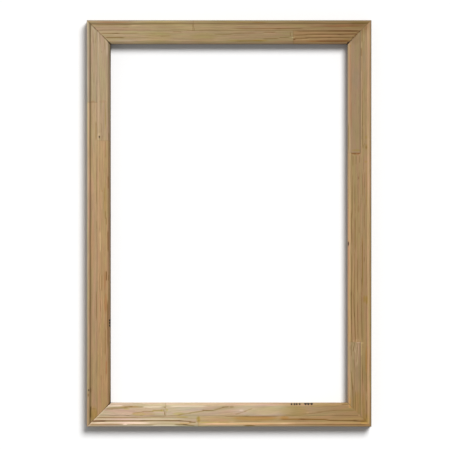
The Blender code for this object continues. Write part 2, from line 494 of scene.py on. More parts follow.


# What a block's wood is like where BLOCKS doesn't say.
# tone: its colours at its low and high end. late: the tone of the late wood. bold: how strong that is at
# the two ends. pith: the pith line's place across and up. tilt: how it drifts across, for each millimetre
# along. ring: a year's width. line: where across the face one ring is darkest. wander, jitter, streaky,
# broken: how uneven the grain, the years, the threads and the ring lines are. seams: how stained a finger
# joint is at the low and high end. arris: how strong a pale line painted along a mitre's edge is there.
# foot: painted shade at the foot of the step beside the bead. wall: how much painted shade the window's
# side gets. marks: the block's own, by tone, and some painted light and shade.
WOOD = dict(
    late=(0.66, 0.50, 0.34), pith=(-90.0, 10.0), tilt=0.0, wander=1.2, jitter=0.7, streaky=1.0, broken=0.3,
    seams=(0.5, 0.5), arris=(0.0, 0.0), foot=0.0, wall=0.7, marks={},
)
LATE_PEAK = 0.92
FACE = RAIL_DEPTH - STEP_DROP - FACE_FALL / 2
FIRST_YEAR = 60.0
GRAIN_LENGTH = 80.0
GRAIN_WIDTH = 25.0
FINGER_STAIN_REACH = 1.1
SAWN = (0.45, 0.36, 0.28)
# The next two tones are painted shade: for the outer side, and for the window's side.
OUTER_SIDE_SHADE = (0.69, 0.71, 0.71)
WINDOW_SIDE_SHADE = (0.50, 0.48, 0.52)


def growth_rings(graph, along, across, height, middle, spec, seed):
    """Growth rings: shells about a pith line that runs along the rail.

    Gives the place off the pith across and up, how far the grain wanders up, how late in its year the
    wood is, and how strong that year's late wood is.
    """
    slow = graph.vector(graph.math("DIVIDE", along, GRAIN_LENGTH), graph.math("DIVIDE", across, GRAIN_WIDTH),
                        graph.scaled(height, 1 / GRAIN_WIDTH, seed * 7.3))
    drift_a, drift_h, _ = graph.split(graph.noise(slow, 1.5, 0.5, colour=True))
    swing = 4 * spec["wander"]
    pith_a, pith_h = spec["pith"]
    placed = graph.plus(across, graph.scaled(drift_a, swing, -swing / 2))
    off_a = graph.minus(placed, graph.scaled(graph.minus(along, middle), spec["tilt"], pith_a))
    off_h = graph.minus(graph.scaled(drift_h, swing, height), pith_h + swing / 2)
    radius = graph.math("SQRT", graph.scaled(off_a, off_a, graph.times(off_h, off_h)))

    # Each year's ring has its own width and strength. One of them darkens at the line asked for.
    asked = math.hypot(spec["line"] - pith_a, FACE - pith_h)
    years = graph.scaled(radius, 1 / spec["ring"], LATE_PEAK - asked / spec["ring"] + FIRST_YEAR)
    uneven = graph.noise(graph.vector(graph.times(years, 0.55), 0.0, seed * 3.1), 1.0)
    years = graph.scaled(graph.minus(uneven, 0.5), spec["jitter"], years)
    late = graph.ramp(graph.math("FRACT", years), [
        (0.0, 0.0), (0.35, 0.04), (0.68, 0.30), (0.86, 0.90), (LATE_PEAK + 0.01, 1.0), (1.0, 0.0)])
    year = graph.node("ShaderNodeTexWhiteNoise", noise_dimensions="1D")
    graph.put(year.inputs["W"], graph.plus(graph.math("FLOOR", years), seed * 17.0))
    return off_a, off_h, drift_h, late, graph.scaled(year.outputs["Value"], 0.6, 0.5)


def shade(graph, colour, value, depth):
    """Darkens and lightens the colour by depth, either side of a value of a half."""
    level = graph.smooth(value, 0.25, 0.75, 1.0 - depth, 1.0 + depth)
    return graph.tint(1.0, colour, graph.vector(level, level, level))


def tinted(graph, colour, value, low, high, cool, warm):
    """Tints the colour from cool to warm, as value runs from low to high."""
    return graph.tint(1.0, colour, graph.blend(graph.smooth(value, low, high), cool, warm))


def add_marks(graph, colour, along, across, above, marks):
    """The block's streaks and spots, some of them painted light and shade along its edges. above fades them
    on the block's sides.
    """
    for tone, places in marks.items():
        core = PRINTED_CORE if tone == INK else SOFT_CORE
        for *place, depth in places:
            if len(place) == STREAK_NUMBERS:
                share = streak_share(graph, along, across, *place)
            else:
                share = spot_share(graph, along, across, core, *place)
            colour = graph.tint(graph.times(graph.times(share, depth), above), colour, tone)
    return colour


def mitre_stain(graph, corner, across):
    """How dark the edges of a mitre are: evenly from the frame's outside to the window, and in dots."""
    mitre = MITRES[corner]
    toe, heel = mitre["stain"]
    dots = graph.noise(graph.vector(graph.math("DIVIDE", across, 1.5), mitre["seed"], 0.0), 1.0)
    dots = graph.smooth(dots, 0.44, 0.60, 1.0 - mitre["dotted"], 1.0)
    return graph.times(dots, graph.scaled(across, (heel - toe) / RAIL_WIDTH, toe))


def stain_seams(graph, colour, rail, position, above, wisp, seams, spec):
    """Glue and crushed fibres darken the wood beside a seam, and a pale line is painted along a mitre's
    edge.
    """
    along, across, height = position
    for seam, depth, arris, inwards in zip(seams, spec["seams"], spec["arris"], (1, -1)):
        if seam in MITRES:
            away = graph.minus(graph.scaled(along, inwards, rail_length(rail) / 2), across)
            depth = mitre_stain(graph, seam, across)
            reach = MITRES[seam]["reach"]
            tone = DARK
            # A pale line painted along the mitre's edge, as strong as arris says.
            rubbed = graph.smooth(graph.absolute(graph.minus(away, 0.9)), 0.7, 0.2)
            colour = graph.tint(graph.times(rubbed, graph.times(above, arris * 0.7)), colour, WHITE)
        else:
            away = graph.absolute(graph.minus(graph.minus(along, seam), finger_offset(graph, height)))
            reach = FINGER_STAIN_REACH
            tone = BROWN
        blot = graph.scaled(wisp, 0.9, graph.plus(away, -0.45))
        stain = graph.times(graph.smooth(blot, reach, reach * 0.2), depth)
        colour = graph.tint(stain, colour, tone)
    return colour


def dull_ends_shade_sides(graph, colour, rail, wall):
    """The sawn ends are duller than the planed faces. The outer side and the window's side are darkened with
    painted shade.
    """
    normal = graph.node("ShaderNodeNewGeometry").outputs["Normal"]

    def facing(direction):
        dot = graph.node("ShaderNodeVectorMath", operation="DOT_PRODUCT")
        graph.put(dot.inputs[0], normal)
        graph.put(dot.inputs[1], tuple(turn_matrix(rail) @ Vector(direction)))
        return dot.outputs["Value"]

    end_grain = graph.smooth(graph.absolute(facing((1, 0, 0))), 0.45, 0.9)
    colour = graph.tint(graph.times(end_grain, 0.8), colour, SAWN)
    # Painted shade on the outer side.
    outer_side = graph.smooth(facing((0, 1, 0)), 0.15, 0.8, 0.0, 0.8)
    colour = graph.tint(outer_side, colour, OUTER_SIDE_SHADE)
    # Painted shade on the window's side, as strong as wall says.
    window_side = graph.smooth(facing((0, -1, 0)), 0.5, 0.95)
    return graph.tint(graph.times(window_side, wall), colour, WINDOW_SIDE_SHADE)


def pine(name, rail, ends, spec, seed):
    """Planed pine, with the block's own grain, marks and seams, and painted light and shade on its edges and
    sides.
    """
    spec = {**WOOD, **spec}
    graph = Graph(name)
    position = rail_position(graph, rail)
    along, across, height = position
    low, high = ends["span"]
    off_a, off_h, drift_h, late, strength = growth_rings(graph, *position, (low + high) / 2, spec, seed)

    # Fibres: streaks along the grain, in four sizes.
    def grain(length, width, detail, offset):
        return graph.noise(graph.vector(graph.math("DIVIDE", along, length),
                                        graph.scaled(off_a, 1 / width, offset + seed),
                                        graph.math("DIVIDE", off_h, width)), detail, 0.6)

    fibre = grain(9.0, 0.35, 2.0, 0.0)
    thread = grain(34.0, 1.1, 2.0, 20.0)
    wisp = grain(20.0, 2.2, 1.0, 60.0)
    band = grain(70.0, 6.5, 1.0, 40.0)
    where = graph.math("MULTIPLY_ADD", along, 1 / (high - low), -low / (high - low), clamp=True)
    bold = graph.scaled(where, spec["bold"][1] - spec["bold"][0], spec["bold"][0])
    broken = graph.smooth(wisp, 0.34, 0.60, spec["broken"], 1.0)
    ring_line = graph.math("MULTIPLY", graph.times(late, strength), graph.times(bold, broken), clamp=True)
    colour = graph.blend(where, *spec["tone"])
    colour = graph.tint(ring_line, colour, spec["late"])
    colour = shade(graph, colour, fibre, 0.06)
    colour = shade(graph, colour, thread, 0.13 * spec["streaky"])
    colour = tinted(graph, colour, wisp, 0.30, 0.70, (0.97, 1.01, 0.95), (1.03, 0.985, 1.02))
    colour = tinted(graph, colour, band, 0.35, 0.65, (0.985, 1.01, 0.93), (1.025, 0.98, 1.02))

    # Resin canals: short dark dashes, mostly in the late wood.
    canal = graph.noise(graph.vector(graph.math("DIVIDE", along, 5.0), graph.math("DIVIDE", off_a, 0.28),
                                     graph.math("DIVIDE", off_h, 0.28)), 0.0)
    canal = graph.math("MULTIPLY", graph.smooth(canal, 0.73, 0.80), graph.plus(late, 0.25), clamp=True)
    colour = graph.tint(graph.times(canal, 0.6), colour, DARK)

    # The marks follow the grain's threads, and fade over the block's rounded edges.
    ragged = graph.scaled(thread, 1.2, graph.plus(across, -0.6))
    ragged = graph.scaled(drift_h, 1.6, graph.plus(ragged, -0.8))
    above = graph.smooth(height, 10.0, 15.5)
    colour = add_marks(graph, colour, along, ragged, above, spec["marks"])

    # Painted shade darkens the foot of the step beside the bead.
    foot = graph.absolute(graph.minus(across, BEAD_WIDTH + STEP_WIDTH + 0.3))
    foot = graph.times(graph.smooth(foot, 0.9, 0.2), graph.times(above, spec["foot"]))
    colour = graph.tint(foot, colour, BROWN)

    colour = stain_seams(graph, colour, rail, position, above, wisp, ends["seams"], spec)
    graph.set("Base Color", dull_ends_shade_sides(graph, colour, rail, spec["wall"]))
    rough = graph.scaled(ring_line, -0.10, graph.scaled(fibre, 0.16, 0.50))
    graph.set("Roughness", rough)
    graph.set("Specular IOR Level", 0.35)
    relief = graph.scaled(canal, -0.6, graph.scaled(late, 0.35, graph.times(fibre, 0.5)))
    bump = graph.node("ShaderNodeBump")
    bump.inputs["Strength"].default_value = 0.5
    bump.inputs["Distance"].default_value = 0.12 * MM
    graph.put(bump.inputs["Height"], relief)
    graph.set("Normal", bump.outputs[0])
    return graph.material


def steel(name):
    """Drawn steel strip, with fine scratches and dull patches."""
    graph = Graph(name)
    place = graph.split(graph.node("ShaderNodeTexCoord").outputs["Object"])

    def speckle(scales, detail):
        return graph.noise(graph.vector(*(graph.times(p, s) for p, s in zip(place, scales))), detail)

    scratches = speckle((900.0, 900.0, 9000.0), 3.0)
    patch = speckle((400.0, 400.0, 400.0), 2.0)
    tone = graph.blend(graph.smooth(patch, 0.35, 0.7), (0.56, 0.56, 0.58), (0.40, 0.385, 0.37))
    graph.set("Base Color", tone)
    graph.set("Metallic", 1.0)
    graph.set("Roughness", graph.scaled(scratches, 0.25, 0.22))
    return graph.material


# ---------------------------------------------------------------- pieces

# A streak is (along, across) of both ends, half width, depth. A spot is (along, across), half length,
# half width, depth. All but the depth is in millimetres, and across is in from the outer edge.
BLOCKS = {}
BLOCKS["top_rail_bead_strip_left"] = dict(
    tone=((0.31, 0.22, 0.122), (0.36, 0.255, 0.13)), ring=3.1, line=11.5, bold=(0.40, 0.30),
    foot=0.35, marks={
    BROWN: [(-168, 5.6, -118, 5.3, 0.9, 1), (-131, 8.8, -123, 8.8, 0.7, 0.6),
        (-162, 11.5, -112, 11.2, 0.9, 0.4), (-90, 8.6, -54, 8.4, 0.8, 0.5), (-74, 11.4, -46, 11.2, 0.8, 0.5),
        (-53, 12.6, -43, 12.6, 0.8, 0.5), (-44.6, 7.2, 0.9, 3.2, 0.9), (-45.2, 11.5, 0.7, 3, 0.6)],
    REDDISH: [(-140, 2.4, 26, 1.2, 0.7)],
    OLIVE: [(-80, 3, 30, 3, 0.5)],
    PALE: [(-160, 7.6, -143, 7.4, 0.8, 0.4), (-121, 6.8, -108, 6.8, 0.9, 1), (-172, 2.2, -50, 2.2, 1.5, 1)],
    PINK: [(-150, 2.4, 26, 1.8, 1)],
    # The cool line along the outer edge is painted shadow.
    EDGE_SHADOW: [(-178, 0.4, 178, 0.4, 1.2, 0.9)],
})
BLOCKS["top_rail_bead_strip_right"] = dict(
    tone=((0.35, 0.25, 0.128), (0.29, 0.182, 0.076)), ring=2.6, line=12.6, bold=(0.50, 0.60),
    foot=0.35, marks={
    DARK: [(88, 13, 126, 12.9, 0.8, 0.3), (119, 12.9, 163, 12.9, 0.9, 0.9)],
    BROWN: [(-43, 12.7, 30, 12.6, 0.9, 0.3), (2, 10.1, 66, 10.1, 0.9, 1), (56, 10.2, 92, 10.3, 0.9, 1),
        (92, 8, 168, 7.6, 0.8, 0.7), (-42.6, 11.5, 0.7, 3, 0.7), (158, 6, 12, 5, 0.35)],
    REDDISH: [(38, 3, 12, 1, 0.7), (140, 6.8, 32, 2.4, 0.7)],
    OLIVE: [(12, 2.2, 40, 1.3, 0.8), (160, 3, 14, 2, 0.8)],
    # The cool line along the outer edge is painted shadow.
    EDGE_SHADOW: [(-178, 0.4, 178, 0.4, 1.2, 0.9)],
})
BLOCKS["top_rail_inner_strip_left"] = dict(
    tone=((0.35, 0.262, 0.14), (0.3, 0.208, 0.102)), ring=3.0, line=19.6, bold=(0.30, 0.40), marks={
    DARK: [(-159, 16.2, -134, 16, 1, 0.75), (-154, 21.3, -128, 21.2, 1.1, 0.9),
        (61, 21.2, 75, 21, 0.9, 0.6)],
    BROWN: [(-144, 16, -110, 15.9, 0.9, 0.7), (-136, 21.6, -96, 21.4, 0.9, 0.6),
        (-85, 20, -72, 19.6, 0.8, 0.6), (-70, 14.8, -58, 14.7, 0.9, 1), (-74, 22.2, -42, 22.4, 0.9, 0.3),
        (-19, 17.4, 5, 17.3, 0.9, 0.9), (2, 15.9, 34, 15.6, 0.8, 0.7), (41, 14.9, 58, 14.8, 0.9, 1),
        (41, 22.8, 62, 22.4, 0.9, 0.9), (8, 25.9, 44, 25.4, 1, 0.9), (75.2, 17.5, 0.9, 3.6, 0.9)],
    ORANGE: [(28, 24.6, 48, 24.4, 0.8, 0.8)],
    OLIVE: [(-4, 25.3, 50, 25.2, 1.3, 1), (-86, 20.5, 20, 8, 0.5), (-32, 21.5, 20, 8, 0.45)],
    PALE: [(-142, 17.8, -130, 17.6, 0.8, 0.6), (41, 16.4, 58, 16.2, 0.8, 0.8), (-128, 25.2, 16, 1.4, 0.7),
        (64, 25.6, 15, 1.4, 0.3), (77.2, 17, 0.8, 3.6, 0.6)],
    WHITE: [(78, 21.3, 1.4, 1.2, 1)],
    PINK: [(64, 25.6, 17, 1.9, 1)],
    GREY: [(-128, 25.2, 20, 1.8, 1)],
})
BLOCKS["top_rail_inner_strip_right"] = dict(
    tone=((0.34, 0.205, 0.093), (0.312, 0.185, 0.078)), ring=4.1, line=17.2, tilt=-0.012, bold=(0.6, 0.8),
    wander=0.35, jitter=0.15, late=(0.44, 0.31, 0.18), broken=0.8, marks={
    BLACK: [(147.5, 27.6, 3.4, 2, 0.9)],
    DARK: [(80, 14.2, 124, 13.5, 1, 0.6), (117, 13.5, 163, 13.3, 1.1, 0.9), (79, 18.7, 98, 17.6, 1, 0.6),
        (92, 17.5, 140, 17.1, 1.1, 0.75), (132, 17.2, 158, 16.6, 1, 1), (79, 22.6, 98, 22.2, 1, 0.8),
        (92, 21.4, 128, 20.8, 1, 0.65), (120, 20.8, 152, 21.4, 1, 0.7), (106, 25.9, 149, 25.5, 1, 0.8),
        (80, 23.6, 2.2, 1.1, 1), (160.5, 13.6, 1.6, 1.3, 0.9), (156.5, 17.2, 1.6, 1.2, 0.9),
        (152.5, 20.6, 1.8, 1.2, 0.7), (158.4, 15, 2.2, 0.9, 0.7), (155, 18.4, 2.2, 0.9, 0.7),
        (151.4, 21.9, 2.2, 0.9, 0.6)],
    ORANGE: [(94, 26, 150, 25.4, 1.3, 1)],
    OLIVE: [(144, 24, 4, 1.2, 0.9), (151, 25.6, 1.2, 1.4, 1)],
    PALE: [(100, 19, 138, 18.8, 0.9, 0.6), (89, 24.2, 99, 24, 0.9, 0.9), (152, 23, 1.1, 0.9, 1)],
    WHITE: [(79.2, 21.3, 1.5, 1.2, 1.3)],
})
BLOCKS["left_rail_bead_strip_lower"] = dict(
    tone=((0.38, 0.245, 0.122), (0.42, 0.282, 0.153)), ring=2.2, line=11.5, bold=(0.25, 0.30),
    foot=1.0, marks={
    BLACK: [(-205, 1.9, 1.6, 1.4, 0.9)],
    DARK: [(-240, 4.6, -224, 4.6, 1.3, 1), (-211, 1.4, 2.5, 1.3, 0.8), (-205, 4.4, 4, 1.2, 0.7)],
    BROWN: [(-120, 11.7, -82, 11.6, 0.9, 0.9), (-7, 11.8, 4, 11.8, 0.8, 0.5), (22, 11.7, 66, 11.6, 1, 0.6),
        (56, 11.6, 88, 11.6, 0.8, 0.3), (102, 11.5, 126, 11.4, 0.9, 1.2), (-228, 8.5, 1, 3.5, 0.6)],
    OLIVE: [(-234, 8.5, 12, 7, 1)],
    # The two pale lines 2.8 to 3 mm in that run the whole block are partly paler wood and partly painted
    # light on the bead's shaded inner round.
    PALE: [(-254, 2.8, 254, 2.8, 1.3, 1), (-254, 3, 254, 3, 0.9, 0.5), (-206, 12.6, -187, 12.6, 0.7, 0.5),
        (0, 12.7, 10, 12.7, 0.7, 0.6)],
    PINK: [(-25, 7, 42, 2.5, 1)],
    RESIN: [(-236, 10, 9, 6, 0.35)],
    GREY: [(128, 8, 50, 7, 0.7)],
    # The cool line along the outer edge is painted shadow.
    EDGE_SHADOW: [(-254, 0.6, 254, 0.6, 1.3, 1)],
})
BLOCKS["left_rail_bead_strip_upper"] = dict(
    tone=((0.35, 0.255, 0.156), (0.355, 0.268, 0.17)), ring=2.1, line=8.5, bold=(0.25, 0.45), streaky=1.3,
    foot=1.0, marks={
    BROWN: [(172, 8.6, 186, 8.6, 0.7, 0.6), (221, 7.6, 240, 7.4, 0.8, 0.9), (221, 10.2, 236, 10, 0.7, 0.7),
        (200, 11.6, 238, 11.4, 0.8, 0.5)],
    REDDISH: [(150, 7.6, 1.4, 3, 0.7)],
    # The pale line 2.8 mm in that runs the whole block is partly paler wood and partly painted light on the
    # bead's shaded inner round.
    PALE: [(-254, 2.8, 254, 2.8, 1.3, 1), (168, 6.4, 196, 6.2, 0.8, 0.5), (221, 6.2, 246, 6, 0.9, 1),
        (223, 8.8, 241, 8.4, 0.8, 0.8)],
    PINK: [(205, 9, 30, 4, 0.5)],
    # The cool line along the outer edge is painted shadow.
    EDGE_SHADOW: [(-254, 0.6, 254, 0.6, 1.3, 1)],
})
BLOCKS["left_rail_inner_strip_lower"] = dict(
    tone=((0.411, 0.249, 0.111), (0.396, 0.257, 0.129)), ring=2.3, line=16.0, bold=(0.25, 0.30), wall=1.0,
    seams=(0.5, 0.25), marks={
    INK: [(-125.8, 28.6, 1.6, 1.6, 1), (-122.4, 28.6, 1.6, 1.6, 1), (-119.2, 28.6, 1.6, 1.6, 1)],
    BLACK: [(-220.5, 28.6, 3, 1.1, 0.9)],
    DARK: [(-155, 25.9, -92, 25.6, 1.1, 0.8), (-71, 23.9, -58, 23.9, 1.1, 1), (1, 29, 21, 1.2, 1.2),
        (-214, 29, 11, 1.6, 1.2)],
    BROWN: [(-193, 17.6, -186, 17.6, 0.7, 0.6), (-193, 20.2, -178, 20.2, 0.7, 0.5),
        (-110, 16.8, -93, 16.7, 0.8, 0.6), (-164, 22.6, -128, 22.8, 1.1, 1),
        (-136, 15.4, -122, 15.4, 0.7, 0.4), (-84, 15.3, -60, 15.3, 0.8, 0.5),
        (-84, 18.2, -62, 18.4, 0.8, 0.9), (-71, 26.6, -63, 26.6, 0.8, 0.9), (-36, 25.9, -8, 25.6, 1.1, 1.1),
        (-2, 23.8, 8, 23.8, 1.1, 1), (5, 22.8, 16, 22.6, 0.9, 0.8), (26, 21.6, 44, 21.8, 0.8, 0.5),
        (42, 26.4, 59, 26, 1.2, 0.9), (57, 22.8, 86, 22.6, 0.9, 0.4), (62, 15.4, 82, 15.2, 0.7, 0.5),
        (80, 22.9, 103, 22.7, 0.9, 0.8)],
    REDDISH: [(-187, 24, -168, 24, 1, 1), (-98, 23.2, 16, 2.2, 0.9), (-70, 22, 16, 1.6, 0.7),
        (40, 19, 1.4, 0.8, 0.9)],
    OLIVE: [(30, 22.5, 26, 2.2, 0.6)],
    PALE: [(-222, 23.5, -192, 23.4, 0.9, 0.9), (-164, 18, -152, 18, 0.9, 0.8),
        (-148, 16.6, -132, 16.5, 0.8, 0.4), (-118, 18.2, -92, 18.1, 0.8, 1),
        (-124, 21.4, -112, 21.4, 0.8, 0.6), (-82, 16.7, -62, 16.6, 0.9, 1), (16, 18.4, 42, 18, 1.1, 0.9),
        (43, 21.4, 64, 21.3, 0.9, 0.8), (49, 24.6, 57, 24.4, 0.8, 0.9), (-126, 16.6, 3.5, 0.9, 0.6),
        (-95, 23.6, 10, 1.6, 0.3), (-143, 27.6, 4, 1, 0.8)],
    WHITE: [(-36, 16.5, -9, 16.4, 1, 0.8)],
})
BLOCKS["left_rail_inner_strip_upper"] = dict(
    tone=((0.375, 0.266, 0.15), (0.348, 0.258, 0.16)), ring=2.1, line=18.0, bold=(0.25, 0.40), streaky=1.2,
    wall=1.0, seams=(0.25, 0.5), marks={
    BLACK: [(106.6, 15.4, 1.8, 1.1, 1)],
    DARK: [(211, 18.3, 1.4, 0.9, 0.4), (207, 29, 19, 1.2, 1.2)],
    BROWN: [(103, 19, 108.5, 19, 0.9, 0.5), (111, 17.8, 124, 17.8, 0.9, 0.4),
        (120, 22.7, 142, 22.6, 0.6, 0.5), (102, 26.6, 112, 26.8, 0.9, 0.6), (213, 22.4, 226, 21.8, 0.7, 0.7),
        (222, 16.4, 238, 15.6, 0.7, 0.4), (104.6, 15.6, 1.2, 1, 0.8)],
    REDDISH: [(150, 20, 2.2, 6, 0.35)],
    OLIVE: [(114, 22.8, 150, 22.6, 0.9, 1)],
    PALE: [(102.5, 13.6, 111, 13.4, 0.9, 0.9), (148, 24.8, 166, 24.6, 0.9, 0.5),
        (190, 17.6, 212, 17.5, 0.8, 0.6), (222, 24.4, 230, 22, 0.7, 0.8), (223, 14, 241, 13.6, 0.7, 0.3),
        (109.8, 15.4, 2, 1.6, 0.9), (214, 24.6, 11, 2, 0.8)],
    GREY: [(170, 14.8, 212, 14.4, 0.8, 0.8), (214, 24.6, 11, 2, 0.6)],
})
BLOCKS["bottom_rail_bead_strip_right"] = dict(
    tone=((0.404, 0.242, 0.091), (0.52, 0.372, 0.202)), ring=4.4, line=8.4, bold=(0.40, 0.25), jitter=0.4,
    wander=0.5, marks={
    DARK: [(-174, 2.7, -114, 2.8, 0.9, 0.8), (-168, 6.2, -152, 7.2, 1.1, 0.6), (-160, 7.4, -118, 8, 1, 1),
        (-124, 8.9, -84, 9.1, 1.1, 0.8), (-63, 12.5, -16, 12.6, 0.8, 0.6), (-25, 1.3, 9, 1.2, 1.1)],
    BROWN: [(-124, 2.8, -68, 2.7, 0.9, 1.1), (-76, 2.6, -30, 2.3, 0.7, 0.8), (-96, 9, -61, 9.2, 1, 1),
        (-26, 12.6, 6, 12.6, 0.8, 1.2), (-42, 6.6, -4, 6.2, 0.8, 0.7), (-2, 5.8, 14, 5.8, 0.8, 0.7)],
    ORANGE: [(-60, 3.6, 34, 3.4, 1.5, 0.5), (-124, 9.1, -60, 9.3, 1.3, 1), (-68, 11.2, 7, 2.4, 1.1),
        (-32, 10.2, 34, 3.4, 1.3)],
    OLIVE: [(-2, 5.6, 38, 5.5, 1, 1.3), (-166, 4.8, 7, 1.6, 1.2)],
    # The long pale and white bands 3.5 to 4.6 mm in, on the step that faces the lamp, are partly paler wood
    # and partly painted highlight.
    PALE: [(-176, 4.6, -60, 4.1, 1.5, 1.3)],
    WHITE: [(-80, 4.1, 36, 3.5, 1.6, 1.3), (-168, 4.2, 7, 1.6, 0.6)],
    PINK: [(16, 9, 22, 3, 1)],
    RESIN: [(-166, 6.8, 6, 1.8, 0.6), (37, 9, 1.9, 4.8, 0.8)],
    # The cool line along the outer edge is painted shadow.
    EDGE_SHADOW: [(-178, 0.8, 178, 0.8, 1.2, 0.8)],
})
BLOCKS["bottom_rail_bead_strip_left"] = dict(
    tone=((0.51, 0.39, 0.25), (0.52, 0.385, 0.247)), ring=3.8, line=10.9, bold=(0.35, 0.45), jitter=0.3,
    wander=0.4, late=(0.56, 0.40, 0.28), broken=0.6, arris=(0.0, 1.0), marks={
    DARK: [(40.5, 5.3, 50, 5.3, 0.9, 0.9), (45, 6.2, 64, 7.4, 0.9, 1), (56, 7.4, 112, 7.7, 1, 1.05),
        (100, 7.6, 160, 6.9, 1, 1.1), (151, 6.7, 172, 6.6, 1.3, 1), (42, 1, 58, 2.8, 0.9, 0.9),
        (50, 2.7, 68, 2.8, 0.8, 1), (74, 12.3, 122, 12, 0.9, 0.7), (112, 11.6, 166, 11.4, 0.9, 0.7)],
    BROWN: [(153, 6.7, 171, 6.6, 0.9, 1), (86, 2.9, 124, 2.9, 0.9, 0.7), (132, 2.8, 174, 2.4, 1, 1.2),
        (50, 11.6, 78, 12.2, 0.8, 0.7)],
    REDDISH: [(151, 6.7, 172, 6.6, 1.2, 1), (154, 7, 169, 6.8, 1.2, 0.8)],
    ORANGE: [(46, 4, 62, 4.6, 1.1, 0.9)],
    OLIVE: [(58, 12, 10, 1.6, 1)],
    # The pale band 5.5 mm in and the white band 4.6 to 4.9 mm in, by the step that faces the lamp, are
    # partly paler wood and partly painted highlight.
    PALE: [(48, 5.4, 100, 5.6, 1.2, 0.8)],
    WHITE: [(62, 1.6, 96, 2, 1, 0.9), (94, 4.9, 170, 4.6, 1.5, 0.9), (52, 9.6, 164, 9, 1.2, 0.75),
        (128, 2.6, 3.4, 1.2, 1.1), (106, 6.5, 32, 9, 0.22)],
    RESIN: [(39, 9, 1.6, 4.8, 0.8)],
    # The cool line along the outer edge is painted shadow.
    EDGE_SHADOW: [(-178, 0.8, 178, 0.8, 1.2, 0.8)],
})
BLOCKS["bottom_rail_inner_strip_right"] = dict(
    tone=((0.384, 0.237, 0.094), (0.585, 0.464, 0.315)), pith=(12.0, -60.0), ring=4.0, line=18.0, tilt=-0.1,
    bold=(0.25, 0.12), wander=0.9, wall=0.0, marks={
    INK: [(-101.4, 28.4, 1.8, 1.7, 1), (-97.5, 28.4, 1.8, 1.7, 1), (-94, 28.4, 1.8, 1.7, 1),
        (-86.8, 27.9, 1.3, 1.3, 1), (-83.2, 27.9, 1.3, 1.3, 1), (-80.4, 27.9, 1.3, 1.3, 1),
        (-76.8, 27.9, 1.3, 1.3, 1)],
    DARK: [(-147, 27.2, -138, 27, 0.8, 0.7), (18, 19.6, 34, 19.9, 1, 1)],
    BROWN: [(-153, 14.2, -124, 14, 0.9, 0.5), (-156, 20, -126, 20.2, 1.2, 0.5),
        (-132, 20.2, -106, 18.2, 1, 0.7), (-116, 17.8, -88, 15.2, 0.9, 0.7),
        (-29, 22.6, -18, 18.6, 0.9, 0.8), (-22, 19.4, -7, 14.8, 0.9, 0.8), (0, 24.4, 9, 23.6, 1.2, 1.2),
        (6, 23.8, 20, 19.8, 1.1, 1), (30, 19.4, 50, 16.2, 1, 1.2), (46, 16.6, 64, 14, 1, 1),
        (58, 14.2, 77, 13.4, 1, 0.6), (-3, 24.2, 3.4, 1.8, 0.8)],
    ORANGE: [(-149, 25, 2.4, 2.6, 0.9)],
    OLIVE: [(-137, 25.6, -96, 25.4, 1, 0.8), (-80, 19, 22, 9, 0.9), (-42, 20, 30, 7, 0.6),
        (62, 15.6, 9, 2.4, 1)],
    # The long pale spot 27.4 mm in, on the chamfer that faces the lamp, is painted highlight.
    PALE: [(-46, 20.5, 44, 9, 0.6), (-96.5, 17, 2.2, 1.2, 1), (48, 21.6, 22, 3, 0.4),
        (-20, 27.4, 150, 1.5, 0.6)],
    WHITE: [(26, 25, 76, 24.8, 1.3, 0.9), (-160, 13.9, 1.6, 1.4, 0.9), (-148.5, 25, 2.2, 2.4, 0.8),
        (-15, 20, 3.4, 1.2, 0.5), (-38, 20.5, 46, 11, 0.28)],
    # The long pink spot 27.4 mm in is partly the chamfer's pink tint and partly painted highlight.
    PINK: [(2, 16, 14, 4, 1), (-20, 27.4, 150, 1.5, 1)],
    RESIN: [(76.4, 20.4, 1.2, 2, 0.7)],
    GREY: [(-46, 19.5, 46, 10, 1), (48, 21.6, 22, 3, 1)],
})
BLOCKS["bottom_rail_inner_strip_left"] = dict(
    tone=((0.58, 0.447, 0.3), (0.525, 0.4, 0.278)), pith=(12.0, -60.0), ring=4.0, line=20.0, tilt=0.1,
    bold=(0.12, 0.25), wander=0.9, wall=0.0, arris=(0.0, 1.0), marks={
    DARK: [(122, 23, 154, 22.4, 1.2, 0.8), (118, 24.3, 130, 24.2, 0.9, 0.7), (79.4, 16.4, 0.8, 3.2, 0.9),
        (80.2, 20, 0.9, 2, 0.8)],
    BROWN: [(81, 20.4, 95, 20.2, 1.1, 1), (92, 18.9, 108, 18.4, 1, 1.1), (104, 18.5, 120, 16.4, 0.9, 0.8),
        (116, 15.6, 127, 13.6, 0.9, 0.3), (104, 24, 124, 23.8, 0.9, 0.9), (142, 20.8, 156, 20.6, 0.9, 0.7),
        (118, 12.9, 164, 12.6, 0.9, 0.6), (79.2, 23.8, 1.4, 0.9, 1.2)],
    ORANGE: [(110, 24.2, 136, 24, 1.2, 0.9), (98, 15.5, 10, 2, 0.5)],
    OLIVE: [(81, 19.8, 96, 19.5, 1.1, 1.5), (111, 15.6, 10, 2.6, 1.3), (126, 21.6, 5, 1.1, 1.2)],
    PALE: [(132, 16.5, 20, 2.4, 0.3)],
    WHITE: [(81, 24.6, 108, 24, 1.1, 0.9), (130, 25.6, 151, 25.2, 0.9, 1)],
    PINK: [(122, 18.6, 34, 4, 1.2)],
    RESIN: [(82.5, 20.2, 2.6, 2, 0.5)],
})
